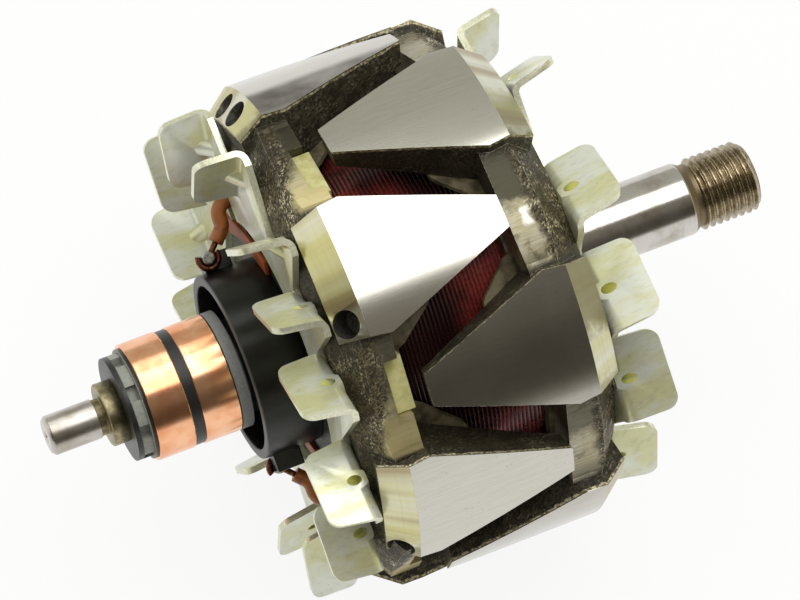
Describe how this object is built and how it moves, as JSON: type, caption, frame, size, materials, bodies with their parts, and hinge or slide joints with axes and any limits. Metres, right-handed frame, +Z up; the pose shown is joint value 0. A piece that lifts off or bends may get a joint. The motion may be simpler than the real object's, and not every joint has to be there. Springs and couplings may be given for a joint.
{
  "type": "alternator rotor",
  "caption": "Claw-pole rotor with a field winding between interleaved steel claws, copper slip rings, bent-blade fans and a ground shaft threaded at the drive end.",
  "frame": {"origin": "on the shaft axis, midway between the end faces of the two claw poles, within about a millimetre of the middle of the whole part", "axes": "+X along the shaft towards the threaded drive end, +Z up with the shaft lying level, +Y completes a right-handed frame"},
  "size_m": [0.1508, 0.104, 0.104],
  "materials": {
    "shaft_steel": "ground steel",
    "forged_steel": "forged steel, ground on the outside diameter",
    "bobbin_nylon": "cream nylon",
    "enamelled_wire": "dark red enamelled winding wire",
    "zinc_sheet": "zinc plated, yellow-green passivated sheet",
    "carrier_moulding": "moulded phenolic",
    "slip_ring_copper": "turned copper",
    "shield_moulding": "black moulding",
    "bare_copper": "bare copper wire",
    "solder": "dull solder",
    "lead_sleeving": "orange-brown insulating sleeve"
  },
  "bodies": {
    "root": {"shaft": "shaft_steel", "rear_pole": "forged_steel", "front_pole": "forged_steel", "coil_bobbin": "bobbin_nylon", "field_coil": "enamelled_wire", "rear_fan": "zinc_sheet", "front_fan": "zinc_sheet", "slip_ring_carrier": "carrier_moulding", "outboard_slip_ring": "slip_ring_copper", "inboard_slip_ring": "slip_ring_copper", "slip_ring_shield": "shield_moulding", "upper_terminal_hook": "bare_copper", "upper_lead_end": "bare_copper", "upper_solder_joint": "solder", "upper_lead_sleeve": "lead_sleeving", "lower_terminal_hook": "bare_copper", "lower_lead_end": "bare_copper", "lower_solder_joint": "solder", "lower_lead_sleeve": "lead_sleeving"}
  },
  "joints": []
}
